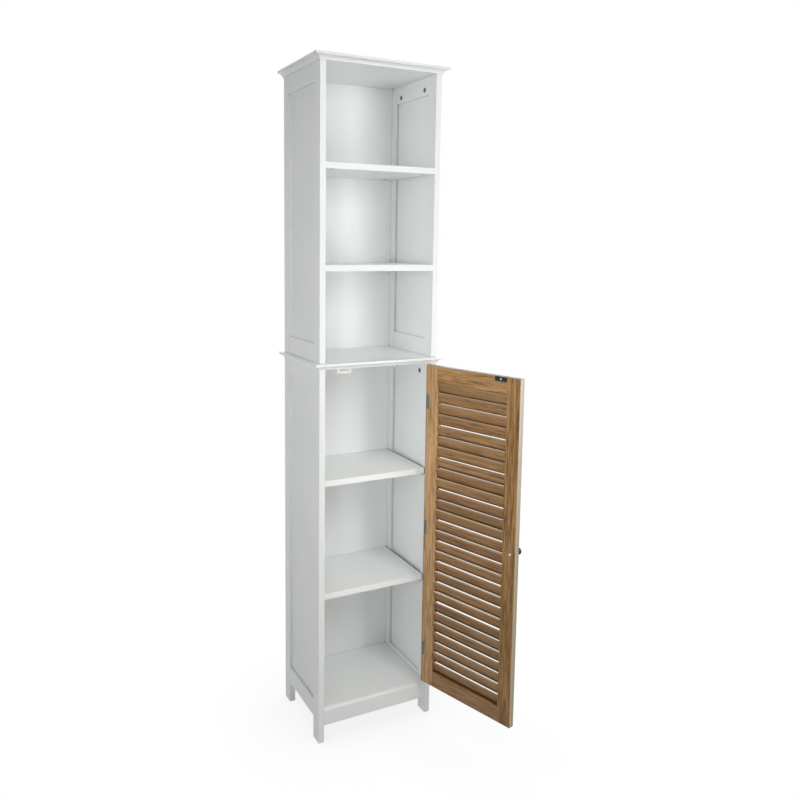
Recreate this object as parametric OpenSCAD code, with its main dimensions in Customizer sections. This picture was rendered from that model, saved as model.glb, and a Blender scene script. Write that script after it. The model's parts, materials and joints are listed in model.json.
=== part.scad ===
// Tall two-section bathroom cabinet: an open case of three compartments over a
// case of three shelves closed by one inset louvred door.
// Millimetres. +Z is up, the front faces -Y, and the origin is on the floor at
// the centre of the four feet. The door is drawn standing open.

/* [Case] */
// Height from the floor to the top of the crown board
cabinet_h = 1700; // [1600:5:1800]
// Width over the two side frames
cabinet_w = 326; // [300:1:400]
// Depth over the side frames
cabinet_d = 240; // [220:1:320]
// Thickness of the boards and of the side-frame timber
board_t = 15; // [14:0.5:18]
// Width of the stiles of the side frames
stile_w = 35; // [32:1:45]
// Thickness of the side and back panels
panel_t = 3; // [2.5:0.5:4]
// Depth that a panel runs into its grooves
groove_d = 6; // [4:1:8]
// Distance of the back panel's groove from the rear face
back_inset = 5; // [4:1:8]

/* [Levels] */
// Height of the top face of the middle board
mid_z = 979; // [900:1:1020]
// Height of the top face of the bottom board
bottom_z = 90; // [80:1:120]
// Height of the top face of the high upper shelf
upper_high_z = 1456; // [1400:1:1500]
// Height of the top face of the low upper shelf
upper_low_z = 1215; // [1150:1:1250]
// Height of the top face of the high lower shelf
lower_high_z = 680; // [620:1:720]
// Height of the top face of the low lower shelf
lower_low_z = 386; // [340:1:420]

/* [Side frames] */
// Height of the rails at the top and bottom of each side frame
rail_h = 44; // [40:1:60]
// Height of the lowest side rails above the floor
side_rail_z = 57; // [50:1:75]
// Height of the lower edge of the front apron above the floor
apron_z = 45; // [30:1:55]
// Radius of the rounded front edge of the bottom board
nose_r = 9; // [4:0.5:12]

/* [Crown and middle board] */
// Overhang of the crown board at the front and sides
crown_over = 17; // [14:0.5:22]
// Overhang of the middle board at the front and sides
mid_over = 15; // [12:0.5:20]
// Height of the flat fillet along the top of each moulded edge
fillet_h = 6; // [4:0.5:8]
// Step in from the fillet to the cove
cove_step = 1.5; // [1:0.5:3]
// Part of the overhang that is left under the cove
cove_foot = 3; // [2:0.5:4]

/* [Shelves] */
// Distance of the lower shelves from the front, behind the door
shelf_setback = 20; // [18:1:30]
// Clearance round a board that fits between other pieces
fit_gap = 0.1; // [0.05:0.05:0.3]

/* [Door] */
// Thickness of the door
door_t = 15; // [14:0.5:18]
// Gap over the closed door and at its two sides
door_gap = 3; // [2:0.5:3.5]
// Gap under the closed door
door_bottom_gap = 13; // [3:0.5:14]
// Width of the door stiles
door_stile_w = 38; // [34:1:50]
// Height of the door rails
door_rail_h = 40; // [34:1:50]
// Angle at which the door stands open
door_open = 107.5; // [0:0.5:170]
// Number of louvre slats
slat_count = 28; // [24:1:30]
// Thickness of a slat
slat_t = 5; // [4:0.5:6]
// Run of a slat through the thickness of the door
slat_run = 12; // [10:0.5:12.5]
// Overlap of neighbouring slats, seen from the front
slat_lap = 1.5; // [0:0.5:4]
// Largest shift of a slat from its even place, up or down
slat_play = 1; // [0:0.1:1.2]
// Depth that the slats run into the stiles
slat_tenon = 6; // [4:1:10]

/* [Hardware] */
// Height of each hinge
hinge_h = 38; // [36:1:50]
// Thickness of the hinge leaves
leaf_t = 1; // [0.8:0.1:1.2]
// Outer radius of the hinge knuckles
knuckle_r = 3; // [2.6:0.1:3.2]
// Radius of the hinge pins
hinge_pin_r = 1.3; // [1:0.1:1.5]
// Radial clearance of the pins in the knuckles
pin_gap = 0.05; // [0.02:0.01:0.1]
// Distance of the outer hinges from the ends of the door
hinge_end = 95; // [60:1:110]
// Radius of the cam locks
cam_r = 6; // [5:0.5:7.5]
// Distance of the upper cam locks from the crown board that they hold
upper_cam_drop = 30; // [24:1:34]
// Distance of the lower cam locks from the middle board that they hold
lower_cam_drop = 29; // [22:1:34]
// Radius of the knob's head
knob_r = 9; // [7:0.5:15]
// Length of the knob
knob_l = 25; // [16:1:30]

/* [Hidden] */
$fn = 48;

// Places that follow from the sizes above
x_out = cabinet_w / 2;
x_in = x_out - board_t;
y_front = -cabinet_d / 2;
y_rear = cabinet_d / 2;
y_back_panel = y_rear - back_inset - panel_t;
crown_z = cabinet_h - board_t;
mid_under_z = mid_z - board_t;
bottom_under_z = bottom_z - board_t;
inner_w = 2 * x_in;
cut = 1; // length of a cut past the face that it opens
board_slot_d = 5; // depth of the slots for the back panels in the boards
white = [0.93, 0.93, 0.92];
oak = [0.66, 0.5, 0.34];
steel = [0.6, 0.6, 0.6];
dark_metal = [0.2, 0.2, 0.2];

// Side frames

// A groove for a panel in the middle of the side-frame timber
module side_groove(y0, y1, z0, z1)
    translate([-panel_t / 2 - fit_gap, y0, z0])
        cube([panel_t + 2 * fit_gap, y1 - y0, z1 - z0]);

// A stile from z0 to z1 with its centre at x = 0; front or rear
module stile_body(z0, z1, rear, panel_z0, panel_z1) {
    y0 = rear ? y_rear - stile_w : y_front;
    groove_y0 = rear ? y0 - cut : y0 + stile_w - groove_d;
    difference() {
        translate([-board_t / 2, y0, z0])
            cube([board_t, stile_w, z1 - z0]);
        side_groove(groove_y0, groove_y0 + groove_d + cut, panel_z0, panel_z1);
    }
}

// A rail between the stiles; the groove is in its lower or its upper edge
module rail_body(z0, groove_below) {
    difference() {
        translate([-board_t / 2, y_front + stile_w, z0])
            cube([board_t, cabinet_d - 2 * stile_w, rail_h]);
        if (groove_below)
            side_groove(y_front, y_rear, z0 - cut, z0 + groove_d);
        else
            side_groove(y_front, y_rear, z0 + rail_h - groove_d, z0 + rail_h + cut);
    }
}

module panel_body(z0, z1)
    translate([-panel_t / 2, y_front + stile_w - groove_d + fit_gap, z0 + fit_gap])
        cube([panel_t, cabinet_d - 2 * (stile_w - groove_d + fit_gap), z1 - z0 - 2 * fit_gap]);

// The groove for a back panel on the inner face of a rear stile
module back_groove(side, z0, z1)
    translate([side > 0 ? -board_t / 2 - cut : board_t / 2 - groove_d, y_back_panel - fit_gap, z0])
        cube([groove_d + cut, panel_t + 2 * fit_gap, z1 - z0]);

// Places a side-frame piece on the left (-1) or on the right (1)
module at_side(side)
    translate([side * (x_out - board_t / 2), 0, 0]) children();

upper_panel_z0 = mid_z + rail_h - groove_d;
upper_panel_z1 = crown_z - rail_h + groove_d;
lower_panel_z0 = side_rail_z + rail_h - groove_d;
lower_panel_z1 = mid_under_z - rail_h + groove_d;

module upper_front_stile(side) color(white) at_side(side) difference() {
    stile_body(mid_z, crown_z, false, upper_panel_z0, upper_panel_z1);
    for (z = [upper_high_z, upper_low_z]) shelf_bolt_hole(side, front_cam_y, z);
}
module upper_rear_stile(side) color(white) at_side(side) difference() {
    stile_body(mid_z, crown_z, true, upper_panel_z0, upper_panel_z1);
    back_groove(side, mid_z, crown_z);
    for (z = [upper_high_z, upper_low_z]) shelf_bolt_hole(side, rear_cam_y, z);
}
module upper_top_rail(side) color(white) at_side(side) difference() {
    rail_body(crown_z - rail_h, true);
    rail_cam_cuts(side, crown_z, upper_cam_drop);
}
module upper_bottom_rail(side) color(white) at_side(side)
    rail_body(mid_z, false);
module upper_side_panel(side) color(white) at_side(side)
    panel_body(upper_panel_z0, upper_panel_z1);

module lower_front_leg(side) color(white) at_side(side) difference() {
    stile_body(0, mid_under_z, false, lower_panel_z0, lower_panel_z1);
    for (z = [lower_high_z, lower_low_z]) support_hole(side, lower_front_pin_y, z);
    shelf_bolt_hole(side, front_cam_y, bottom_z);
    if (side > 0) hinge_screw_sites() leaf_screw_pilot();
}
module lower_rear_leg(side) color(white) at_side(side) difference() {
    stile_body(0, mid_under_z, true, lower_panel_z0, lower_panel_z1);
    back_groove(side, bottom_under_z, mid_under_z);
    for (z = [lower_high_z, lower_low_z]) support_hole(side, rear_cam_y, z);
    shelf_bolt_hole(side, rear_cam_y, bottom_z);
}
module lower_top_rail(side) color(white) at_side(side) difference() {
    rail_body(mid_under_z - rail_h, true);
    rail_cam_cuts(side, mid_under_z, lower_cam_drop);
}
module lower_bottom_rail(side) color(white) at_side(side)
    rail_body(side_rail_z, false);
module lower_side_panel(side) color(white) at_side(side)
    panel_body(lower_panel_z0, lower_panel_z1);

// Boards

// Half the section of a moulded edge, from the top down: a flat fillet, a small
// step and a quarter-round cove that dies into the foot over the case
module edge_profile(half, over, flush_far) {
    cove_w = over - cove_step - cove_foot;
    cove_h = board_t - fillet_h;
    difference() {
        translate([flush_far ? -half : -half - over, -board_t])
            square([flush_far ? 2 * half + over : 2 * (half + over), board_t]);
        for (m = flush_far ? [1] : [-1, 1]) scale([m, 1]) difference() {
            translate([half + cove_foot, -board_t - cut]) square([over, cove_h + cut]);
            translate([half + cove_foot, -board_t]) cove_section(cove_w, cove_h);
        }
    }
}

// The timber that a hollow quarter round of width w and height h leaves
module cove_section(w, h) difference() {
    square([w, h]);
    translate([w, 0]) scale([w / h, 1]) circle(r = h, $fn = 64);
}

// A board with the moulded edge on its front and on both ends
module moulded_board(top_z, over) intersection() {
    translate([0, y_rear + cut, top_z]) rotate([90, 0, 0])
        linear_extrude(cabinet_d + over + 2 * cut) edge_profile(x_out, over, false);
    translate([-x_out - over - cut, 0, top_z]) rotate([90, 0, 90])
        linear_extrude(2 * (x_out + over + cut))
            mirror([1, 0]) edge_profile(cabinet_d / 2, over, true);
}

module crown_board() color(white) difference() {
    moulded_board(cabinet_h, crown_over);
    rail_bolt_holes(crown_z);
    back_panel_slot(crown_z - cut, crown_z + board_slot_d);
}

module middle_board() color(white) difference() {
    moulded_board(mid_z, mid_over);
    rail_bolt_holes(mid_under_z);
    back_panel_slot(mid_z - board_slot_d, mid_z + cut);
    back_panel_slot(mid_under_z - cut, mid_under_z + board_slot_d);
    catch_screw_holes();
}

// A slot across a board for the top or bottom edge of a back panel
module back_panel_slot(z0, z1)
    translate([-x_in - groove_d, y_back_panel - fit_gap, z0])
        cube([inner_w + 2 * groove_d, panel_t + 2 * fit_gap, z1 - z0]);

// The section of the bottom board, from its rounded front edge to the back panel
module nosed_section() {
    depth = y_back_panel - fit_gap - y_front;
    translate([y_front + nose_r, 0]) intersection() {
        translate([0, -nose_r]) circle(r = nose_r, $fn = 64);
        translate([-nose_r, -board_t]) square([nose_r, board_t]);
    }
    translate([y_front + nose_r, -board_t]) square([depth - nose_r, board_t]);
    translate([y_front, -board_t]) square([nose_r, board_t - nose_r]);
}

module bottom_board() color(white) difference() {
    translate([-x_in + fit_gap, 0, bottom_z]) rotate([90, 0, 90])
        linear_extrude(inner_w - 2 * fit_gap) nosed_section();
    shelf_cam_cuts(bottom_z);
}

module front_apron() color(white)
    translate([-x_in + fit_gap, y_front, apron_z])
        cube([inner_w - 2 * fit_gap, board_t, bottom_under_z - apron_z]);

module upper_shelf(top_z) color(white) difference() {
    translate([-x_in + fit_gap, y_front, top_z - board_t])
        cube([inner_w - 2 * fit_gap, y_back_panel - fit_gap - y_front, board_t]);
    shelf_cam_cuts(top_z);
}

module lower_shelf(top_z) color(white)
    translate([-x_in + fit_gap, y_front + shelf_setback, top_z - board_t])
        cube([inner_w - 2 * fit_gap, y_back_panel - fit_gap - y_front - shelf_setback, board_t]);

module back_panel(z0, z1) color(white)
    translate([-x_in - groove_d + fit_gap, y_back_panel, z0 + fit_gap])
        cube([inner_w + 2 * (groove_d - fit_gap), panel_t, z1 - z0 - 2 * fit_gap]);

// Cam locks and bolts

cam_l = 10;
cam_bolt_r = 2.5;
cam_slack = 0.1;
cam_recess_reach = 4.2;
cam_recess_w = 1.6;
cam_web = 0.5; // metal left between the recess and the bolt's hole
cam_recess_d = cam_l / 2 - cam_bolt_r - cam_slack - cam_web;
bolt_start = 0.5; // start of a bolt from the centre of its cam lock
bolt_foot = 9; // length of a bolt in the board or stile that it holds
rail_cam_in = 23; // distance of the rail cams from the ends of the rail
shelf_cam_in = 25; // distance of the shelf cams from the ends of the shelf
front_cam_y = y_front + stile_w / 2;
rear_cam_y = y_rear - stile_w / 2;
rail_cam_y = cabinet_d / 2 - stile_w - rail_cam_in;
shelf_cam_x = x_in - shelf_cam_in;

// A cam lock lies in a pocket that opens on the inner face of a rail
module rail_cam_cuts(side, board_z, drop)
    for (y = [-rail_cam_y, rail_cam_y]) {
        translate([side * (cam_l - board_t / 2 + cam_slack), y, board_z - drop])
            rotate([0, -90 * side, 0])
                cylinder(r = cam_r + cam_slack, h = cam_l + cam_slack + cut);
        translate([side * (cam_l - board_t) / 2, y, board_z - drop])
            cylinder(r = cam_bolt_r + cam_slack, h = drop + cut);
    }

module rail_bolt_holes(board_z)
    for (side = [-1, 1], y = [-rail_cam_y, rail_cam_y])
        translate([side * (x_in + cam_l / 2), y, board_z - cut])
            cylinder(r = cam_bolt_r + cam_slack, h = bolt_foot + cut + cam_slack);

module cam_lock() difference() {
    cylinder(r = cam_r, h = cam_l);
    translate([0, 0, cam_l - cam_recess_d])
        cross_recess(cam_recess_reach, cam_recess_w, cam_recess_d + cut);
    translate([0, 0, cam_l / 2]) rotate([0, 90, 0])
        cylinder(r = cam_bolt_r + cam_slack, h = cam_r + cut);
}

module cross_recess(reach, width, depth)
    for (a = [0, 90]) rotate([0, 0, a])
        translate([-reach, -width / 2, 0]) cube([2 * reach, width, depth]);

// Places of the rail cams: a board's underside and the cams' distance below it
rail_cam_levels = [[crown_z, upper_cam_drop], [mid_under_z, lower_cam_drop]];

module rail_cam_locks() color(dark_metal)
    for (side = [-1, 1], y = [-rail_cam_y, rail_cam_y], level = rail_cam_levels)
        translate([side * (x_in + cam_l), y, level[0] - level[1]])
            rotate([0, -90 * side, 0]) rotate([0, 0, side > 0 ? 0 : 180]) cam_lock();

module rail_cam_bolts() color(steel)
    for (side = [-1, 1], y = [-rail_cam_y, rail_cam_y], level = rail_cam_levels)
        translate([side * (x_in + cam_l / 2), y, level[0] - level[1] + bolt_start])
            cylinder(r = cam_bolt_r, h = level[1] - bolt_start + bolt_foot);

// A shelf cam opens on the underside of its board, its bolt reaches the stile
module shelf_cam_cuts(top_z)
    for (side = [-1, 1], y = [front_cam_y, rear_cam_y]) {
        translate([side * shelf_cam_x, y, top_z - board_t - cut])
            cylinder(r = cam_r + cam_slack, h = cam_l + cut + cam_slack);
        translate([side * shelf_cam_x, y, top_z - board_t + cam_l / 2])
            rotate([0, 90 * side, 0]) cylinder(r = cam_bolt_r + cam_slack, h = x_in);
    }

// The hole in a stile for a shelf bolt, in the stile's own frame
module shelf_bolt_hole(side, y, top_z)
    translate([-side * (board_t / 2 + cut), y, top_z - board_t + cam_l / 2])
        rotate([0, 90 * side, 0])
            cylinder(r = cam_bolt_r + cam_slack, h = bolt_foot + cut + cam_slack);

module shelf_cam_sites()
    for (side = [-1, 1], y = [front_cam_y, rear_cam_y], z = [upper_high_z, upper_low_z, bottom_z])
        translate([side * shelf_cam_x, y, z - board_t]) scale([side, 1, 1]) children();

module shelf_cam_locks() color(dark_metal) shelf_cam_sites()
    translate([0, 0, cam_l]) mirror([0, 0, 1]) cam_lock();

module shelf_cam_bolts() color(steel) shelf_cam_sites()
    translate([bolt_start, 0, cam_l / 2]) rotate([0, 90, 0])
        cylinder(r = cam_bolt_r, h = shelf_cam_in - bolt_start + bolt_foot);

// Shelf supports of the lower shelves

support_r = 2.5;
support_head = 8;
support_in = 9;
support_inset = 6; // distance of the front supports from the shelf's front edge
lower_front_pin_y = y_front + shelf_setback + support_inset;

module support_hole(side, y, top_z)
    translate([-side * (board_t / 2 + cut), y, top_z - board_t - support_r])
        rotate([0, 90 * side, 0]) cylinder(r = support_r, h = support_in + cut);

module shelf_supports() color(steel)
    for (side = [-1, 1], y = [lower_front_pin_y, rear_cam_y], z = [lower_high_z, lower_low_z])
        translate([side * (x_in - support_head), y, z - board_t - support_r])
            rotate([0, 90 * side, 0]) cylinder(r = support_r, h = support_head + support_in);

// Door, drawn closed and then swung open about its pivot

door_x0 = -x_in + door_gap;
door_x1 = x_in - door_gap;
door_z0 = bottom_z + door_bottom_gap;
door_z1 = mid_under_z - door_gap;
knuckle_stand = 0.5; // distance of the knuckles from the front face
pivot_x = x_in - door_gap / 2;
pivot_y = y_front - knuckle_r - knuckle_stand;
slat_z0 = door_z0 + door_rail_h;
slat_z1 = door_z1 - door_rail_h;
slat_pitch = (slat_z1 - slat_z0) / slat_count;
slat_rise = slat_pitch + slat_lap;

module swung() translate([pivot_x, pivot_y, 0]) rotate([0, 0, door_open])
    translate([-pivot_x, -pivot_y, 0]) children();

// The section of one slat: inner edge high, outer edge low, both edges rounded
// in flats of 30 degrees
module slat_section(grow) {
    r = slat_t / 2 + grow;
    half_run = slat_run / 2 - slat_t / 2;
    half_rise = slat_rise / 2 - slat_t / 2;
    half_chord = norm([half_run, half_rise]);
    rotate(atan2(half_rise, half_run)) polygon([
        for (m = [1, -1], a = [-90 : 30 : 90])
            [m * (half_chord + r * cos(a)), m * r * sin(a)]
    ]);
}

// The slats are fitted by hand, so each sits a little above or below its place
function slat_shift(i) = slat_play * sin(63.5 * i * i + 44.6 * i + 239);

// Slats from x0 to x1 across the door
module slats(x0, x1, grow)
    for (i = [0 : slat_count - 1])
        translate([x0, y_front + door_t / 2, slat_z0 + (i + 0.5) * slat_pitch + slat_shift(i)])
            rotate([90, 0, 90]) linear_extrude(x1 - x0) slat_section(grow);

module door_stile(x0, x1) difference() {
    translate([x0, y_front, door_z0]) cube([x1 - x0, door_t, door_z1 - door_z0]);
    slats(door_x0 + door_stile_w - slat_tenon, door_x1 - door_stile_w + slat_tenon, fit_gap);
}

module door_hinge_stile() color(oak) swung() difference() {
    door_stile(door_x1 - door_stile_w, door_x1);
    hinge_sites() door_leaf_mortise();
    hinge_sites() door_screw_sites() leaf_screw_pilot();
}

module door_free_stile() color(oak) swung() difference() {
    door_stile(door_x0, door_x0 + door_stile_w);
    knob_hole();
}

module door_rail(z0) translate([door_x0 + door_stile_w, y_front, z0])
    cube([door_x1 - door_x0 - 2 * door_stile_w, door_t, door_rail_h]);

module door_top_rail() color(oak) swung() difference() {
    door_rail(door_z1 - door_rail_h);
    slats(door_x0, door_x1, fit_gap);
    strike_pilot();
}

module door_bottom_rail() color(oak) swung() difference() {
    door_rail(door_z0);
    slats(door_x0, door_x1, fit_gap);
}

module louvre_slats() color(oak) swung()
    slats(door_x0 + door_stile_w - slat_tenon + fit_gap,
          door_x1 - door_stile_w + slat_tenon - fit_gap, 0);

// Knob and its screw

knob_in = 16; // distance of the knob's axis from the free edge of the door
knob_rise = 5.5; // height of the knob above the middle of the door
knob_x = door_x0 + knob_in;
knob_z = (door_z0 + door_z1) / 2 + knob_rise;
knob_foot_r = 5.5;
knob_foot_h = 3;
knob_hollow = 1.5;
knob_head_h = 10;
knob_screw_r = 2;
knob_screw_in = 9; // length of the screw in the knob
knob_screw_head_r = 4;
knob_screw_rim_r = 2.8;
knob_screw_head_h = 2;
screw_recess_reach = 2;
screw_recess_w = 0.8;
screw_recess_d = 1;

module knob_axis() translate([knob_x, y_front, knob_z]) rotate([90, 0, 0]) children();

module knob_hole() knob_axis() translate([0, 0, -door_t - cut])
    cylinder(r = knob_screw_r + fit_gap, h = door_t + 2 * cut);

module knob() color(dark_metal) swung() knob_axis() difference() {
    rotate_extrude($fn = 64) knob_section();
    translate([0, 0, -cut]) cylinder(r = knob_screw_r, h = knob_screw_in + cut);
}

// Half the section of the knob: a round foot, a hollowed neck and a domed head
module knob_section() {
    head_z = knob_l - knob_head_h / 2;
    neck_h = knob_l - knob_head_h - knob_foot_h;
    difference() {
        square([knob_foot_r, head_z]);
        translate([knob_foot_r, knob_foot_h + neck_h / 2])
            scale([knob_hollow / neck_h * 2, 1]) circle(r = neck_h / 2);
    }
    intersection() {
        translate([0, head_z]) scale([knob_r / knob_head_h * 2, 1]) circle(r = knob_head_h / 2);
        square([knob_r, knob_l]);
    }
}

module knob_screw() color(steel) swung() knob_axis() translate([0, 0, -door_t]) difference() {
    union() {
        cylinder(r = knob_screw_r, h = door_t + knob_screw_in);
        translate([0, 0, -knob_screw_head_h])
            cylinder(r1 = knob_screw_rim_r, r2 = knob_screw_head_r, h = knob_screw_head_h);
    }
    translate([0, 0, -knob_screw_head_h - cut])
        cross_recess(screw_recess_reach, screw_recess_w, screw_recess_d + cut);
}

// Magnetic catch under the middle board and its strike plate on the door

catch_w = 42;
catch_d = 14;
catch_h = 15;
strike_w = 34;
catch_x = door_x0 + door_stile_w + strike_w / 2 + 1;
strike_h = 11;
strike_t = 1.2;
catch_gap = 2;
magnet_w = 24;
magnet_h = 5;
magnet_d = 8;
magnet_proud = 0.4;
catch_screw_r = 1.5;
catch_screw_l = 9;
catch_head_r = 3;
catch_rim_r = 2;
catch_head_h = 1.5;
catch_y = y_front + door_t + catch_gap;

module magnetic_catch() color([0.9, 0.9, 0.88]) difference() {
    translate([catch_x, catch_y + catch_d / 2, mid_under_z - catch_h]) {
        for (m = [-1, 1]) translate([m * (catch_w - catch_d) / 2, 0, 0])
            cylinder(d = catch_d, h = catch_h);
        translate([-(catch_w - catch_d) / 2, -catch_d / 2, 0])
            cube([catch_w - catch_d, catch_d, catch_h]);
    }
    magnet_block(fit_gap);
    catch_screw_sites() translate([0, 0, -catch_h - cut])
        cylinder(r = catch_screw_r + fit_gap, h = catch_h + 2 * cut);
}

module magnet_block(grow)
    translate([catch_x - magnet_w / 2 - grow, catch_y - magnet_proud,
               mid_under_z - catch_h / 2 - magnet_h / 2 - grow])
        cube([magnet_w + 2 * grow, magnet_proud + magnet_d + grow, magnet_h + 2 * grow]);

module catch_magnet() color(dark_metal) magnet_block(0);

module catch_screw_sites() for (m = [-1, 1])
    translate([catch_x + m * (catch_w - catch_d) / 2, catch_y + catch_d / 2, mid_under_z])
        children();

module catch_screw_holes() catch_screw_sites()
    translate([0, 0, -cut]) cylinder(r = catch_screw_r, h = catch_screw_l + cut);

module catch_screws() color(steel) catch_screw_sites() {
    translate([0, 0, -catch_h]) cylinder(r = catch_screw_r, h = catch_h + catch_screw_l);
    translate([0, 0, -catch_h - catch_head_h])
        cylinder(r1 = catch_rim_r, r2 = catch_head_r, h = catch_head_h);
}

strike_drop = 1.5; // distance of the strike's centre below the magnet's
strike_z = mid_under_z - catch_h / 2 - strike_drop;
strike_screw_l = 10;
strike_head_r = 2.8;

module strike_axis()
    translate([catch_x, y_front + door_t, strike_z]) rotate([-90, 0, 0]) children();

module strike_pilot() strike_axis() translate([0, 0, -strike_screw_l])
    cylinder(r = catch_screw_r, h = strike_screw_l + cut);

module strike_plate() color(dark_metal) swung() difference() {
    translate([catch_x - strike_w / 2, y_front + door_t, strike_z - strike_h / 2])
        cube([strike_w, strike_t, strike_h]);
    strike_axis() countersink(fit_gap);
}

module countersink(grow) {
    cylinder(r1 = catch_screw_r + grow, r2 = strike_head_r + grow, h = strike_t);
    translate([0, 0, strike_t]) cylinder(r = strike_head_r + grow, h = grow);
}

module strike_screw() color(steel) swung() strike_axis() {
    translate([0, 0, -strike_screw_l]) cylinder(r = catch_screw_r, h = strike_screw_l);
    cylinder(r1 = catch_screw_r, r2 = strike_head_r, h = strike_t);
}

// Hinges: wrap-around butt hinges with three knuckles each

knuckle_gap = 0.2;
knuckle_h = (hinge_h - 2 * knuckle_gap) / 3;
weld_lap = 0.1; // length of a knuckle's tongue in its leaf
leaf_w = door_t - leaf_t;
wrap_w = 9; // width of the part of a door leaf that lies on the inner face
leaf_screw_r = 1.5;
leaf_screw_l = 12;
leaf_screw_z = 12.5; // distance of the leaf screws from the hinge's middle
pilot_end = 0.5; // length of a pilot hole past its screw
hinge_zs = [door_z0 + hinge_end, (door_z0 + door_z1) / 2, door_z1 - hinge_end];

module hinge_sites() for (z = hinge_zs)
    translate([pivot_x, pivot_y, z - hinge_h / 2]) children();

module knuckle(i) translate([0, 0, i * (knuckle_h + knuckle_gap)]) difference() {
    cylinder(r = knuckle_r, h = knuckle_h, $fn = 32);
    translate([0, 0, -cut])
        cylinder(r = hinge_pin_r + pin_gap, h = knuckle_h + 2 * cut, $fn = 32);
}

// The tongue that joins a knuckle to its leaf, from x0 to x0 + leaf_t
module tongue(i, x0) translate([0, 0, i * (knuckle_h + knuckle_gap)]) difference() {
    translate([x0, 0, 0]) cube([leaf_t, leaf_y0 + weld_lap, knuckle_h]);
    translate([0, 0, -cut])
        cylinder(r = hinge_pin_r + pin_gap, h = knuckle_h + 2 * cut, $fn = 32);
}

frame_leaf_x = door_gap / 2 - leaf_t;
door_leaf_x = -door_gap / 2 - leaf_t;
leaf_y0 = knuckle_r + knuckle_stand;

module frame_leaf() difference() {
    union() {
        for (i = [0, 2]) {
            knuckle(i);
            tongue(i, frame_leaf_x);
        }
        translate([frame_leaf_x, leaf_y0, 0]) cube([leaf_t, leaf_w, hinge_h]);
    }
    frame_screw_sites() leaf_screw_pilot();
}

module door_leaf() difference() {
    union() {
        knuckle(1);
        tongue(1, door_leaf_x);
        translate([door_leaf_x, leaf_y0, 0]) cube([leaf_t, door_t, hinge_h]);
        translate([door_leaf_x - wrap_w, leaf_y0 + door_t - leaf_t, 0])
            cube([wrap_w + leaf_t, leaf_t, hinge_h]);
    }
    door_screw_sites() leaf_screw_pilot();
}

module door_leaf_mortise() {
    translate([door_leaf_x, leaf_y0 - cut, -fit_gap])
        cube([leaf_t + cut, door_t + 2 * cut, hinge_h + 2 * fit_gap]);
    translate([door_leaf_x - wrap_w - fit_gap, leaf_y0 + door_t - leaf_t, -fit_gap])
        cube([wrap_w + leaf_t, leaf_t + cut, hinge_h + 2 * fit_gap]);
}

// Two screws through each leaf, in the hinge's own frame, pointing into the wood
module frame_screw_sites() for (m = [-1, 1])
    translate([frame_leaf_x, leaf_y0 + leaf_w / 2, hinge_h / 2 + m * leaf_screw_z])
        rotate([0, 90, 0]) children();
module door_screw_sites() for (m = [-1, 1])
    translate([door_leaf_x + leaf_t, leaf_y0 + leaf_w / 2, hinge_h / 2 + m * leaf_screw_z])
        rotate([0, -90, 0]) children();

module leaf_screw_pilot() translate([0, 0, -cut])
    cylinder(r = leaf_screw_r + fit_gap, h = leaf_screw_l + cut + pilot_end);
module leaf_screw() cylinder(r = leaf_screw_r, h = leaf_screw_l);

// The frame screws in the right front leg's own frame
module hinge_screw_sites() translate([-(x_out - board_t / 2), 0, 0])
    hinge_sites() frame_screw_sites() children();

module hinge_frame_leaves() color(steel) hinge_sites() frame_leaf();
module hinge_door_leaves() color(steel) swung() hinge_sites() door_leaf();
module hinge_pins() color(steel) hinge_sites() cylinder(r = hinge_pin_r, h = hinge_h, $fn = 32);
module hinge_frame_screws() color(steel) hinge_sites() frame_screw_sites() leaf_screw();
module hinge_door_screws() color(steel) swung() hinge_sites() door_screw_sites() leaf_screw();

crown_board();
middle_board();
bottom_board();
front_apron();
upper_front_stile(-1);  // upper_left_front_stile
upper_rear_stile(-1);  // upper_left_rear_stile
upper_top_rail(-1);  // upper_left_top_rail
upper_bottom_rail(-1);  // upper_left_bottom_rail
upper_side_panel(-1);  // upper_left_panel
upper_front_stile(1);  // upper_right_front_stile
upper_rear_stile(1);  // upper_right_rear_stile
upper_top_rail(1);  // upper_right_top_rail
upper_bottom_rail(1);  // upper_right_bottom_rail
upper_side_panel(1);  // upper_right_panel
upper_shelf(upper_high_z);  // upper_high_shelf
upper_shelf(upper_low_z);  // upper_low_shelf
back_panel(mid_z - board_slot_d, crown_z + board_slot_d);  // upper_back_panel
lower_front_leg(-1);  // lower_left_front_leg
lower_rear_leg(-1);  // lower_left_rear_leg
lower_top_rail(-1);  // lower_left_top_rail
lower_bottom_rail(-1);  // lower_left_bottom_rail
lower_side_panel(-1);  // lower_left_panel
lower_front_leg(1);  // lower_right_front_leg
lower_rear_leg(1);  // lower_right_rear_leg
lower_top_rail(1);  // lower_right_top_rail
lower_bottom_rail(1);  // lower_right_bottom_rail
lower_side_panel(1);  // lower_right_panel
lower_shelf(lower_high_z);  // lower_high_shelf
lower_shelf(lower_low_z);  // lower_low_shelf
back_panel(bottom_under_z, mid_under_z + board_slot_d);  // lower_back_panel
rail_cam_locks();
rail_cam_bolts();
shelf_cam_locks();
shelf_cam_bolts();
shelf_supports();
magnetic_catch();
catch_magnet();
catch_screws();
door_hinge_stile();
door_free_stile();
door_top_rail();
door_bottom_rail();
louvre_slats();
knob();
knob_screw();
strike_plate();
strike_screw();
hinge_frame_leaves();
hinge_door_leaves();
hinge_pins();
hinge_frame_screws();
hinge_door_screws();
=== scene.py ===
"""Looks of the tall bathroom cabinet: finishes, soft studio light and the camera."""
import json
import math

import bpy
from mathutils import Matrix, Vector


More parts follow.
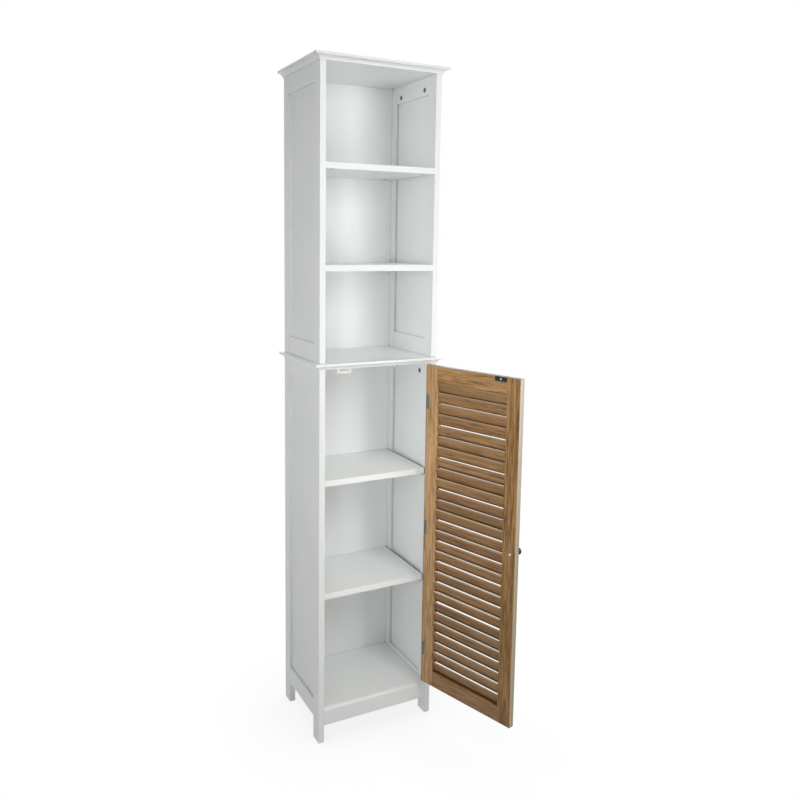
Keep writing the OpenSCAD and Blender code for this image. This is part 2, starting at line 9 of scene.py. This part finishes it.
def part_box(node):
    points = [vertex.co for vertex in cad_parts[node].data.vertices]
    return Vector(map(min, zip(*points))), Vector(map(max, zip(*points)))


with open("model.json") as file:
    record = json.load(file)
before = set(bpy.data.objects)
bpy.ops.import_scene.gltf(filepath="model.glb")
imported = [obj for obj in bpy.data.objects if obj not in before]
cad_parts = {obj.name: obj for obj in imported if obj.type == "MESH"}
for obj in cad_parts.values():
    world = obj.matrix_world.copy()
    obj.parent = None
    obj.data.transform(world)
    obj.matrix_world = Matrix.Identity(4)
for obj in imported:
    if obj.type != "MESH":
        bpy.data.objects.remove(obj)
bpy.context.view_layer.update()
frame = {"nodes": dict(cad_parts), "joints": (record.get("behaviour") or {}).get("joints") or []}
nodes = frame["nodes"]

# The photograph's camera: metres, degrees, and pixels of its 800 by 800 frame
IMAGE_SIZE = 800
SENSOR_MM = 36
CAMERA_PLACE = Vector((-0.878, -1.826, 1.266))
CAMERA_YAW = 26.82
CAMERA_PITCH = -6.93
CAMERA_ROLL = 0.63
FOCAL_PIXELS = 778.4
CENTRE_PIXEL = (374.7, 338.6)

# The louvre, and the door where it is shut, in metres. Its hinge axis stands in front of its face.
SLAT_COUNT = 28
SLAT_RUN = 0.012
SLAT_THICKNESS = 0.005
SLAT_LAP = 0.0015
DOOR_THICKNESS = 0.015
DOOR_HALF_WIDTH = 0.145
HINGE_STAND = 0.0035

# Arrises of the timber and of the fittings, and how far a face's tone reaches round its edge
TIMBER_ARRIS = 0.0007
FITTING_ARRIS = 0.0002
ARRIS_ANGLE = 40
WELD_DISTANCE = 1e-6
EDGE_DEPTH = 0.0009

# Painted shadow: a strip along the door's hinge edge, and a strip for the gap at the ends of the
# lower shelves
HINGE_SHADOW_WIDTH = 0.0025
HINGE_SHADOW_SHARE = 0.5
SHELF_SHADOW_WIDTH = 0.0025

# How much painted shade darkens the lower half of the door's oak, and how far above the middle this
# fades, in metres
LOW_SHADE_SHARE = 0.22
LOW_SHADE_REACH = 0.3

# Shade in the joints: how far it reaches, in metres, how open the surface is where it is full and
# where it ends, and its largest share. A slit between two painted pieces is darker still.
JOINT_REACH = 0.006
JOINT_FADE = (0.25, 0.65)
JOINT_SHADE_SHARE = 0.6
LEFT_JOINT_SHADE_SHARE = 0.2
SLIT_FADE = (0.12, 0.38)
SLIT_GAIN = 1.5
OAK_JOINT_FADE = (0.3, 0.8)
OAK_JOINT_SHADE_SHARE = 0.7

# Spans across a slat, from -1 at its lower edge to 1 at its upper edge, and the shares of each tone:
# a pale painted highlight on the upper edge, painted shade on the lower edge and lower down, and the
# lit crests
HIGHLIGHT_SPAN = (0.45, 1)
HIGHLIGHT_SHARES = (0.3, 0.6)
LOWER_SHADE_SPAN = (-1, -0.6)
LOWER_SHADE_SHARE = 0.9
DEEP_SHADE_SPAN = (-0.8, -0.35)
DEEP_SHADE_SHARE = 0.8
CREST_SPAN = (0.9, 1)
CREST_SHARE = 0.8

# The share of the louvre's height up to which the deep shade and the lit crests are full, and the
# most that the grain is moved from slat to slat on each axis, in metres
LOW_REACH = 0.3
GRAIN_SHIFT = (3, 3, 3)

# Texture scales, in cycles per metre
CLOUD_SCALE = 5
SHEEN_SCALE = 60
PEEL_SCALE = 700
BAND_SCALE = 110
FIBRE_SCALE = 260
PORE_SCALE = 900
BRUSH_SCALE = 1500
TOOTH_SCALE = 1200

# Between which values of a texture a tone fades in, and the largest shares of the oak's dark tone
NOISE_SPAN = (0.3, 0.7)
CLOUD_SPAN = (0.35, 0.65)
BAND_SPAN = (0.4, 0.6)
FIBRE_SPAN = (0.48, 0.66)
FIBRE_SHARE = 0.85
PORE_SPAN = (0.6, 0.7)
PORE_SHARE = 0.5

# Scales along the grain or the brushing, as shares of those across it
GRAIN_STRETCH = 0.06
PORE_STRETCH = 0.03
BRUSH_STRETCH = 0.1

# Relief of the textures, in metres
PEEL_RELIEF = 0.00004
FIBRE_RELIEF = 0.00012
BRUSH_RELIEF = 0.00003
TOOTH_RELIEF = 0.00004

# Roughness, as a range or as what the texture adds, and how much lighter the texture's crests are
TIMBER_ROUGHNESS = (0.32, 0.42)
PANEL_ROUGHNESS = (0.4, 0.5)
OAK_ROUGHNESS = (0.62, 0.5)
BRUSH_ROUGHNESS = 0.12
TOOTH_ROUGHNESS = 0.15
BRUSH_GAIN = 1.25
TOOTH_GAIN = 1.6

# Light: the overhead glow of the studio, the radius of the spots, the floor and how far the object's
# shadow reaches on it, in metres, and the rays that see plain white
WORLD_GLOW = 0.35
SPOT_RADIUS = 0.35
FLOOR_SIZE = 12
FLOOR_TONE = 0.8
SHADOW_REACH = 0.25
SHADOW_FADE = (0.3, 1)
SHADOW_SHARE = 0.12
SEEN_RAYS = ("Is Camera Ray", "Is Glossy Ray", "Is Transmission Ray")


def srgb(r, g, b):
    """A colour given in 0 to 255 as a screen shows it, as linear light."""
    def linear(c):
        c = c / 255
        return c / 12.92 if c <= 0.04045 else ((c + 0.055) / 1.055) ** 2.4

    return (linear(r), linear(g), linear(b), 1)


def brighter(colour, gain):
    return tuple(c * gain for c in colour[:3]) + (1,)


# White paint in general; painted shade on the cabinet's front faces and on the front faces of the
# left and right rear stiles, which stand out past the panels; and painted shade in the joints and
# slits
WHITE = srgb(245, 247, 246)
CLOUDED_WHITE = srgb(242, 245, 244)
SHADED_FRONT_WHITE = srgb(233, 235, 234)
LEFT_STEP_SHADE = srgb(224, 227, 224)
RIGHT_STEP_SHADE = srgb(212, 215, 212)
JOINT_SHADE = srgb(140, 143, 141)
SLIT_SHADE = srgb(70, 74, 72)

# The door's edges, and the painted shade that darkens the free edge towards its foot
PALE_EDGE = srgb(204, 190, 169)
GREY_EDGE = srgb(186, 183, 175)
LOW_EDGE_SHADE = srgb(220, 212, 190)
TOP_EDGE = srgb(152, 143, 130)

# Oak: the light, middle and dark tones of each piece
HINGE_STILE_OAK = (srgb(228, 187, 138), srgb(204, 159, 108), srgb(146, 105, 60))
FREE_STILE_OAK = (srgb(190, 148, 94), srgb(154, 111, 60), srgb(92, 58, 26))
TOP_RAIL_OAK = (srgb(200, 158, 108), srgb(178, 133, 82), srgb(118, 80, 42))
BOTTOM_RAIL_OAK = (srgb(188, 147, 102), srgb(168, 127, 82), srgb(110, 78, 44))
SLAT_OAK = (srgb(192, 149, 102), srgb(164, 122, 78), srgb(98, 67, 38))
# Painted shade for the oak: in its joints, in its lower half, along the hinge edge and on the slats'
# lower edges; a pale painted highlight on the slats' upper edges, and painted highlights on the lit
# crests
OAK_SHADE = srgb(66, 46, 30)
HIGHLIGHT_OAK = srgb(184, 156, 122)
LIT_OAK = srgb(250, 229, 192)

# Tones that single slats take: the colour, the chance above which it starts and its largest share
SLAT_TONES = (
    (srgb(126, 80, 52), 0.35, 0.45),
    (srgb(132, 108, 70), 0.45, 0.4),
    (srgb(190, 146, 96), 0.5, 0.35),
)

# Fittings
STEEL = srgb(170, 170, 168)
HINGE_STEEL = srgb(124, 122, 118)
STRIKE_STEEL = srgb(52, 52, 54)
CAM_ZINC = srgb(92, 94, 92)
BLACK_COAT = srgb(24, 24, 24)
MAGNET_PLATE = srgb(186, 188, 186)
CATCH_PLASTIC = srgb(214, 215, 212)

# Places worked out from the frame, in metres, and the angle by which the door stands open. FRONT_Y
# lies just behind the cabinet's front, and STEP_Y just behind the front faces of the rear stiles,
# which are seen above STEP_Z.
door_joint = next(j for j in frame["joints"] if j["child"] == "door")
DOOR_PIVOT = Vector(door_joint["pos_m"])
DOOR_SWING = math.radians(-door_joint["range_deg"][0])
DOOR_MIDDLE_Y = DOOR_PIVOT.y + HINGE_STAND + DOOR_THICKNESS / 2
DOOR_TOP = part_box("door_top_rail")[1].z
SLATS_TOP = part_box("door_top_rail")[0].z
SLATS_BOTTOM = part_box("door_bottom_rail")[1].z
SLATS_MIDDLE = (SLATS_BOTTOM + SLATS_TOP) / 2
FRONT_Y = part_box("upper_left_front_stile")[0].y + EDGE_DEPTH
STEP_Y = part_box("upper_left_rear_stile")[0].y + EDGE_DEPTH
STEP_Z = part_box("lower_left_bottom_rail")[1].z
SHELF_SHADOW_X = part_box("lower_high_shelf")[1].x - SHELF_SHADOW_WIDTH

# Nodes by finish
DOOR_TIMBER = ["door_hinge_stile", "door_free_stile", "door_top_rail", "door_bottom_rail",
               "louvre_slats"]
STEEL_FITTINGS = ["rail_cam_bolts", "shelf_cam_bolts", "shelf_supports", "catch_screws",
                  "knob_screw", "strike_screw", "hinge_pins", "hinge_frame_screws",
                  "hinge_door_screws"]
HINGE_LEAVES = ["hinge_frame_leaves", "hinge_door_leaves"]
CAM_LOCKS = ["rail_cam_locks", "shelf_cam_locks"]
FITTINGS = STEEL_FITTINGS + HINGE_LEAVES + CAM_LOCKS + [
    "strike_plate", "knob", "catch_magnet", "magnetic_catch"]
TIMBER = [n for n in nodes if n not in FITTINGS]
LEFT_PANELS = ["upper_left_panel", "lower_left_panel"]
OTHER_PANELS = [n for n in TIMBER if n.endswith("_panel") and n not in LEFT_PANELS]
LEFT_REAR_STILES = ["upper_left_rear_stile", "lower_left_rear_leg"]
RIGHT_REAR_STILES = ["upper_right_rear_stile", "lower_right_rear_leg"]
LOWER_SHELVES = ["lower_high_shelf", "lower_low_shelf"]
SPECIAL_TIMBER = (DOOR_TIMBER + LEFT_PANELS + OTHER_PANELS + LEFT_REAR_STILES
                  + RIGHT_REAR_STILES + LOWER_SHELVES)
WHITE_TIMBER = [n for n in TIMBER if n not in SPECIAL_TIMBER]


class Shading:
    """Makes and joins the nodes of one node tree."""

    def __init__(self, tree):
        self.tree = tree

    def node(self, kind, inputs=None, **settings):
        made = self.tree.nodes.new("ShaderNode" + kind)
        for key, value in settings.items():
            setattr(made, key, value)
        for key, value in (inputs or {}).items():
            self.feed(value, made.inputs[key])
        return made

    def feed(self, value, socket):
        if isinstance(value, bpy.types.NodeSocket):
            self.tree.links.new(value, socket)
        else:
            socket.default_value = value

    def place(self):
        """The point in the object's own coordinates, in metres."""
        return self.node("TexCoord").outputs["Object"]

    def axes(self, point):
        """The point's X, Y and Z."""
        return self.node("SeparateXYZ", {0: point}).outputs

    def stretched(self, point, scale):
        return self.node("Mapping", {"Vector": point, "Scale": scale}).outputs["Vector"]

    def noise(self, point, scale, detail=2.0, roughness=0.5, distortion=0.0):
        return self.node("TexNoise", {
            "Vector": point, "Scale": scale, "Detail": detail,
            "Roughness": roughness, "Distortion": distortion,
        }).outputs["Fac"]

    def ramp(self, value, low, high, to_low=0.0, to_high=1.0):
        """value from low..high to to_low..to_high, clamped."""
        return self.node("MapRange", {
            "Value": value, "From Min": low, "From Max": high,
            "To Min": to_low, "To Max": to_high,
        }).outputs["Result"]

    def math(self, operation, a, b=0.0):
        return self.node("Math", {0: a, 1: b}, operation=operation).outputs[0]

    def mix(self, factor, a, b, blend="MIX"):
        made = self.node("Mix", data_type="RGBA", blend_type=blend)
        self.feed(factor, made.inputs[0])
        self.feed(a, made.inputs[6])
        self.feed(b, made.inputs[7])
        return made.outputs[2]

    def bump(self, height, distance, strength=1.0):
        inputs = {"Height": height, "Distance": distance, "Strength": strength}
        return self.node("Bump", inputs).outputs["Normal"]

    def open_share(self, reach):
        """How open the surface is within reach: 1 in the open and less in a corner."""
        return self.node("AmbientOcclusion", {"Distance": reach}, samples=8).outputs["AO"]

    def seen_or(self, value):
        """1 where the camera or a reflection looks, and value for all other light."""
        rays = self.node("LightPath").outputs
        for kind in SEEN_RAYS:
            value = self.math("MAXIMUM", value, rays[kind])
        return value


class Finish(Shading):
    """A node material round one Principled shader."""

    def __init__(self, name, **sockets):
        self.material = bpy.data.materials.new(name)
        self.material.use_nodes = True
        super().__init__(self.material.node_tree)
        self.shader = self.tree.nodes["Principled BSDF"]
        for key, value in sockets.items():
            self.to_shader(key.replace("_", " "), value)

    def to_shader(self, name, value):
        self.feed(value, self.shader.inputs[name])


def shade_joints(finish, colour, joint_share):
    """Painted shade where two pieces meet, and darker painted shade in the slit between them."""
    open_share = finish.open_share(JOINT_REACH)
    joint = finish.ramp(open_share, *JOINT_FADE, joint_share, 0)
    slit = finish.ramp(open_share, *SLIT_FADE, SLIT_GAIN * joint_share, 0)
    return finish.mix(slit, finish.mix(joint, colour, JOINT_SHADE), SLIT_SHADE)


def paint(name, roughness, face=None, end_x=None, joint_share=JOINT_SHADE_SHARE):
    """Sprayed paint on board: cloudy tone, a slightly uneven sheen, orange peel and painted shade in
    the joints.

    face says which front faces carry painted shade: their place in Y and the height in Z above
    which they start, in metres, and their shaded tone. Past end_x, on either side, a painted
    shadow strip stands for the gap between a shelf and the side panel. joint_share is how much
    painted shade lies in the joints.
    """
    finish = Finish(name, Specular_IOR_Level=0.4)
    point = finish.place()
    cloud = finish.noise(point, CLOUD_SCALE, 3.0)
    colour = finish.mix(finish.ramp(cloud, *CLOUD_SPAN), CLOUDED_WHITE, WHITE)
    if face is not None:
        face_y, start_z, face_colour = face
        _, y, z = finish.axes(point)
        on_face = finish.math("LESS_THAN", y, face_y)
        above_start = finish.math("GREATER_THAN", z, start_z)
        colour = finish.mix(finish.math("MULTIPLY", on_face, above_start), colour, face_colour)
    # Painted shadow strip past the shelf's ends, for the gap beside the side panel
    if end_x is not None:
        x, _, _ = finish.axes(point)
        in_shelf_shadow = finish.math("GREATER_THAN", finish.math("ABSOLUTE", x), end_x)
        colour = finish.mix(in_shelf_shadow, colour, SLIT_SHADE)
    finish.to_shader("Base Color", shade_joints(finish, colour, joint_share))
    sheen = finish.noise(point, SHEEN_SCALE, 2.0)
    finish.to_shader("Roughness", finish.ramp(sheen, *NOISE_SPAN, *roughness))
    peel = finish.noise(point, PEEL_SCALE, 1.0)
    finish.to_shader("Normal", finish.bump(peel, PEEL_RELIEF))
    return finish.material


def door_point(finish):
    """The point in the closed door's frame: X across, Y through and Z up the door."""
    moved = finish.node("VectorMath", {0: finish.place(), 1: DOOR_PIVOT}, operation="SUBTRACT")
    turned = finish.node("VectorRotate", {
        "Vector": moved.outputs[0], "Angle": -DOOR_SWING,
    }, rotation_type="Z_AXIS")
    shut = finish.node("VectorMath", {0: turned.outputs[0], 1: DOOR_PIVOT}, operation="ADD")
    return shut.outputs[0]


def drawn_out(along, share):
    """The scale on each axis for a texture that is drawn out along X or Z."""
    return (share, 1, 1) if along == "X" else (1, 1, share)


def grain(finish, point, along, tones):
    """Fine straight oak grain along X or Z: its colour and its height."""
    light, middle, dark = tones
    grain_point = finish.stretched(point, drawn_out(along, GRAIN_STRETCH))
    pore_point = finish.stretched(point, drawn_out(along, PORE_STRETCH))
    bands = finish.noise(grain_point, BAND_SCALE, 3.0, 0.6, 0.8)
    fibres = finish.noise(grain_point, FIBRE_SCALE, 4.0, 0.65)
    pores = finish.noise(pore_point, PORE_SCALE, 1.0)
    colour = finish.mix(finish.ramp(bands, *BAND_SPAN), middle, light)
    colour = finish.mix(finish.ramp(fibres, *FIBRE_SPAN, 0, FIBRE_SHARE), colour, dark)
    colour = finish.mix(finish.ramp(pores, *PORE_SPAN, 0, PORE_SHARE), colour, dark)
    return colour, fibres


def shade_lower_half(finish, height, colour):
    """Painted shade: the oak is a little darker in the lower half of the door."""
    share = finish.ramp(height, SLATS_BOTTOM, SLATS_MIDDLE + LOW_SHADE_REACH, LOW_SHADE_SHARE, 0)
    return finish.mix(share, colour, OAK_SHADE)


def finish_oak(finish, colour, fibres):
    """Paints shade into the joints and gives the foil its sheen and its relief."""
    joint = finish.ramp(finish.open_share(JOINT_REACH), *OAK_JOINT_FADE, OAK_JOINT_SHADE_SHARE, 0)
    finish.to_shader("Base Color", finish.mix(joint, colour, OAK_SHADE))
    finish.to_shader("Roughness", finish.ramp(fibres, *NOISE_SPAN, *OAK_ROUGHNESS))
    finish.to_shader("Normal", finish.bump(fibres, FIBRE_RELIEF, strength=0.8))
    return finish.material


def oak(name, along, tones):
    """Oak-effect foil on the door's frame.

    The free edge is pale, greyer towards the door's outside, with painted shade that makes it darker
    and yellower towards its foot. The top edge is grey. A painted shadow strip runs along the hinge
    edge.
    """
    finish = Finish(name, Specular_IOR_Level=0.35)
    point = door_point(finish)
    x, y, z = finish.axes(point)
    colour, fibres = grain(finish, point, along, tones)
    colour = shade_lower_half(finish, z, colour)
    # Painted shadow along the hinge edge
    on_hinge_shadow = finish.math("GREATER_THAN", x, DOOR_HALF_WIDTH - HINGE_SHADOW_WIDTH)
    hinge_shadow = finish.math("MULTIPLY", on_hinge_shadow, HINGE_SHADOW_SHARE)
    colour = finish.mix(hinge_shadow, colour, OAK_SHADE)
    on_top_edge = finish.math("GREATER_THAN", z, DOOR_TOP - EDGE_DEPTH)
    colour = finish.mix(on_top_edge, colour, TOP_EDGE)
    inner_share = finish.ramp(y, DOOR_MIDDLE_Y, DOOR_MIDDLE_Y + DOOR_THICKNESS / 4)
    # Painted shade darkens the free edge towards the door's foot
    low_share = finish.ramp(z, SLATS_MIDDLE, DOOR_TOP, 1, 0)
    band = finish.mix(inner_share, GREY_EDGE, PALE_EDGE)
    band = finish.mix(low_share, band, LOW_EDGE_SHADE, "MULTIPLY")
    on_free_edge = finish.math("LESS_THAN", x, EDGE_DEPTH - DOOR_HALF_WIDTH)
    colour = finish.mix(on_free_edge, colour, band)
    return finish_oak(finish, colour, fibres)


def slat_place(finish, point):
    """The number of the slat that a point is on, and its place across it, from -1 to 1."""
    pitch = (SLATS_TOP - SLATS_BOTTOM) / SLAT_COUNT
    half_run = (SLAT_RUN - SLAT_THICKNESS) / 2
    half_rise = (pitch + SLAT_LAP - SLAT_THICKNESS) / 2
    half_chord = math.hypot(half_run, half_rise) + SLAT_THICKNESS / 2
    slope = math.atan2(half_rise, half_run)
    _, y, z = finish.axes(point)
    through = finish.math("SUBTRACT", y, DOOR_MIDDLE_Y)
    height = finish.math("SUBTRACT", z, SLATS_BOTTOM)
    off_slope = finish.math(
        "SUBTRACT",
        finish.math("MULTIPLY", height, math.cos(slope)),
        finish.math("MULTIPLY", through, math.sin(slope)))
    index = finish.math("FLOOR", finish.math("DIVIDE", off_slope, pitch * math.cos(slope)))
    above_middle = finish.math(
        "SUBTRACT", height, finish.math("MULTIPLY", finish.math("ADD", index, 0.5), pitch))
    along_slope = finish.math(
        "ADD",
        finish.math("MULTIPLY", above_middle, math.sin(slope)),
        finish.math("MULTIPLY", through, math.cos(slope)))
    return index, finish.math("DIVIDE", along_slope, half_chord)


def slat_oak(name, tones):
    """Oak-effect foil on the slats, each of its own tone.

    The lower edge of a slat, deep in the louvre, carries painted shade, and its rounded upper edge a
    pale painted highlight. Low in the louvre the painted shade reaches further up, and the upper
    edges carry lit crests.
    """
    finish = Finish(name, Specular_IOR_Level=0.35)
    point = door_point(finish)
    _, _, z = finish.axes(point)
    index, across = slat_place(finish, point)
    chance = finish.node("TexWhiteNoise", {"W": index}, noise_dimensions="1D").outputs["Color"]
    shift = finish.node("VectorMath", {0: chance, 1: GRAIN_SHIFT}, operation="MULTIPLY")
    moved = finish.node("VectorMath", {0: point, 1: shift.outputs[0]}, operation="ADD").outputs[0]
    colour, fibres = grain(finish, moved, "X", tones)
    chances = finish.node("SeparateColor", {0: chance}).outputs
    for value, (tone, start, share) in zip(chances, SLAT_TONES):
        colour = finish.mix(finish.ramp(value, start, 1, 0, share), colour, tone)
    colour = shade_lower_half(finish, z, colour)
    # Painted highlight on the slats' upper edges
    highlight_share = finish.ramp(z, SLATS_BOTTOM, SLATS_TOP, *HIGHLIGHT_SHARES)
    highlight = finish.math("MULTIPLY", finish.ramp(across, *HIGHLIGHT_SPAN), highlight_share)
    colour = finish.mix(highlight, colour, HIGHLIGHT_OAK)
    # Painted shade on the slats' lower edges, reaching further up low in the louvre
    colour = finish.mix(finish.ramp(across, *LOWER_SHADE_SPAN, LOWER_SHADE_SHARE, 0), colour, OAK_SHADE)
    low_top = SLATS_BOTTOM + LOW_REACH * (SLATS_TOP - SLATS_BOTTOM)
    low_share = finish.ramp(z, low_top, SLATS_TOP, 1, 0)
    deep = finish.math("MULTIPLY", finish.ramp(across, *DEEP_SHADE_SPAN, DEEP_SHADE_SHARE, 0), low_share)
    colour = finish.mix(deep, colour, OAK_SHADE)
    crest = finish.math("MULTIPLY", finish.ramp(across, *CREST_SPAN, 0, CREST_SHARE), low_share)
    colour = finish.mix(crest, colour, LIT_OAK)
    return finish_oak(finish, colour, fibres)


def metal(name, colour, roughness):
    """Plated metal with a fine lengthwise brushing."""
    finish = Finish(name, Metallic=1.0)
    brush_point = finish.stretched(finish.place(), (1, 1, BRUSH_STRETCH))
    brush = finish.noise(brush_point, BRUSH_SCALE, 2.0)
    finish.to_shader("Base Color", finish.mix(brush, colour, brighter(colour, BRUSH_GAIN)))
    rough = finish.ramp(brush, *NOISE_SPAN, roughness, roughness + BRUSH_ROUGHNESS)
    finish.to_shader("Roughness", rough)
    finish.to_shader("Normal", finish.bump(brush, BRUSH_RELIEF))
    return finish.material


def coat(name, colour, roughness):
    """Paint, plastic or bare casting with a fine tooth."""
    finish = Finish(name)
    tooth = finish.noise(finish.place(), TOOTH_SCALE, 2.0)
    finish.to_shader("Base Color", finish.mix(tooth, colour, brighter(colour, TOOTH_GAIN)))
    rough = finish.ramp(tooth, *NOISE_SPAN, roughness, roughness + TOOTH_ROUGHNESS)
    finish.to_shader("Roughness", rough)
    finish.to_shader("Normal", finish.bump(tooth, TOOTH_RELIEF))
    return finish.material


def give(material, names):
    """Gives CAD nodes their material."""
    for name in names:
        for slot in nodes[name].material_slots:
            slot.material = material


def soften(names, width):
    """Gives the edges of CAD nodes their small arris."""
    for name in names:
        weld = nodes[name].modifiers.new("weld", "WELD")
        weld.merge_threshold = WELD_DISTANCE
        bevel = nodes[name].modifiers.new("arris", "BEVEL")
        bevel.width = width
        bevel.segments = 2
        bevel.limit_method = "ANGLE"
        bevel.angle_limit = math.radians(ARRIS_ANGLE)
        bevel.harden_normals = True


def make_camera():
    yaw, pitch, roll = (math.radians(a) for a in (CAMERA_YAW, CAMERA_PITCH, CAMERA_ROLL))
    level = math.cos(pitch)
    ahead = Vector((math.sin(yaw) * level, math.cos(yaw) * level, math.sin(pitch)))
    right = Vector((math.cos(yaw), -math.sin(yaw), 0))
    up = right.cross(ahead)
    rolled_right = right * math.cos(roll) + up * math.sin(roll)
    rolled_up = up * math.cos(roll) - right * math.sin(roll)
    data = bpy.data.cameras.new("camera")
    data.sensor_width = SENSOR_MM
    data.lens = FOCAL_PIXELS / IMAGE_SIZE * SENSOR_MM
    data.shift_x = (IMAGE_SIZE / 2 - CENTRE_PIXEL[0]) / IMAGE_SIZE
    data.shift_y = (CENTRE_PIXEL[1] - IMAGE_SIZE / 2) / IMAGE_SIZE
    camera = bpy.data.objects.new("camera", data)
    axes = Matrix((rolled_right, rolled_up, -ahead)).transposed().to_4x4()
    camera.matrix_world = Matrix.Translation(CAMERA_PLACE) @ axes
    bpy.context.scene.collection.objects.link(camera)
    bpy.context.scene.camera = camera


def hang(name, data, place, target):
    """Hangs a lamp at place, in metres, and points it at target."""
    lamp = bpy.data.objects.new(name, data)
    lamp.location = place
    lamp.rotation_euler = (Vector(target) - Vector(place)).to_track_quat("-Z", "Y").to_euler()
    bpy.context.scene.collection.objects.link(lamp)
    return lamp


def soft_spot(name, place, target, cone, power):
    """A large soft lamp whose light fades from the middle of its cone, in degrees."""
    data = bpy.data.lights.new(name, "SPOT")
    data.spot_size = math.radians(cone)
    data.spot_blend = 1.0
    data.shadow_soft_size = SPOT_RADIUS
    data.energy = power
    hang(name, data, place, target)


def soft_box(name, place, target, size, power):
    """A flat studio lamp, which the camera doesn't see."""
    data = bpy.data.lights.new(name, "AREA")
    data.shape = "RECTANGLE"
    data.size, data.size_y = size
    data.energy = power
    hang(name, data, place, target).visible_camera = False


def make_lamps():
    soft_spot("left_spot", (-1.6, -2.6, 1.2), (0, 0, 1.0), 38, 72)
    soft_spot("side_spot", (-2.9, -1.0, 1.2), (0, 0, 1.1), 38, 26)
    soft_spot("down_spot", (0.2, -1.5, 1.9), (0, 0, 0.3), 36, 15.5)
    soft_box("left_box", (-2.4, -1.6, 1.3), (0, 0, 1.1), (1.2, 1.6), 14)
    soft_box("high_box", (0.5, -1.6, 1.7), (0, 0, 1.3), (0.6, 0.6), 7.6)
    soft_box("low_box", (0.6, -1.4, 0.9), (0, 0, 1.5), (0.5, 0.5), 5.6)
    soft_box("top_box", (-0.3, -1.6, 2.9), (0, 0, 1.0), (1.8, 1.2), 7.2)
    soft_box("right_box", (2.6, 0.2, 1.4), (0, 0, 1.0), (1.2, 1.6), 20)
    soft_box("back_box", (1.4, 2.4, 1.6), (0, 0, 1.0), (1.4, 1.4), 24)


def make_world():
    """A studio that glows overhead; the camera and reflections see plain white."""
    world = bpy.data.worlds.new("world")
    world.use_nodes = True
    shading = Shading(world.node_tree)
    _, _, height = shading.axes(shading.node("TexCoord").outputs["Generated"])
    glow = shading.math("MULTIPLY", shading.math("MAXIMUM", height, 0), WORLD_GLOW)
    background = world.node_tree.nodes["Background"].inputs
    shading.feed((1, 1, 1, 1), background["Color"])
    shading.feed(shading.seen_or(glow), background["Strength"])
    bpy.context.scene.world = world


def make_floor():
    """A floor that the camera and reflections see as white, with a little of the object's shadow."""
    finish = Finish("floor", Roughness=0.9, Base_Color=(FLOOR_TONE, FLOOR_TONE, FLOOR_TONE, 1))
    shade = finish.node("AmbientOcclusion", {"Distance": SHADOW_REACH}, samples=16).outputs["AO"]
    white = finish.node("Emission", {
        "Strength": finish.ramp(shade, *SHADOW_FADE, 1 - SHADOW_SHARE, 1),
    })
    final = finish.node("MixShader", {
        0: finish.seen_or(0), 1: finish.shader.outputs[0], 2: white.outputs[0],
    })
    finish.feed(final.outputs[0], finish.tree.nodes["Material Output"].inputs["Surface"])
    mesh = bpy.data.meshes.new("floor")
    half = FLOOR_SIZE / 2
    corners = [(-half, -half, 0), (half, -half, 0), (half, half, 0), (-half, half, 0)]
    mesh.from_pydata(corners, [], [(0, 1, 2, 3)])
    mesh.materials.append(finish.material)
    floor = bpy.data.objects.new("floor", mesh)
    bpy.context.scene.collection.objects.link(floor)


# Painted shade on the cabinet's front faces, on the rear stiles' front faces and in the joints; a
# painted shadow strip at the ends of the lower shelves
give(paint("white_paint", TIMBER_ROUGHNESS, (FRONT_Y, 0, SHADED_FRONT_WHITE)), WHITE_TIMBER)
give(paint("left_stile_paint", TIMBER_ROUGHNESS, (STEP_Y, STEP_Z, LEFT_STEP_SHADE),
           joint_share=LEFT_JOINT_SHADE_SHARE), LEFT_REAR_STILES)
give(paint("right_stile_paint", TIMBER_ROUGHNESS, (STEP_Y, STEP_Z, RIGHT_STEP_SHADE)), RIGHT_REAR_STILES)
give(paint("shelf_paint", TIMBER_ROUGHNESS, end_x=SHELF_SHADOW_X), LOWER_SHELVES)
give(paint("panel_white", PANEL_ROUGHNESS), OTHER_PANELS)
give(paint("left_panel_white", PANEL_ROUGHNESS, joint_share=LEFT_JOINT_SHADE_SHARE), LEFT_PANELS)
give(oak("oak_hinge_stile", "Z", HINGE_STILE_OAK), ["door_hinge_stile"])
give(oak("oak_free_stile", "Z", FREE_STILE_OAK), ["door_free_stile"])
give(oak("oak_top_rail", "X", TOP_RAIL_OAK), ["door_top_rail"])
give(oak("oak_bottom_rail", "X", BOTTOM_RAIL_OAK), ["door_bottom_rail"])
give(slat_oak("oak_slats", SLAT_OAK), ["louvre_slats"])
give(metal("steel", STEEL, 0.35), STEEL_FITTINGS)
give(metal("hinge_steel", HINGE_STEEL, 0.4), HINGE_LEAVES)
give(metal("strike_steel", STRIKE_STEEL, 0.35), ["strike_plate"])
give(coat("cam_zinc", CAM_ZINC, 0.45), CAM_LOCKS)
give(coat("black_coat", BLACK_COAT, 0.35), ["knob"])
give(coat("magnet_plate", MAGNET_PLATE, 0.45), ["catch_magnet"])
give(coat("catch_plastic", CATCH_PLASTIC, 0.4), ["magnetic_catch"])
soften(TIMBER, TIMBER_ARRIS)
soften(FITTINGS, FITTING_ARRIS)

make_camera()
make_world()
make_floor()
make_lamps()

bpy.context.scene.view_settings.view_transform = "Standard"
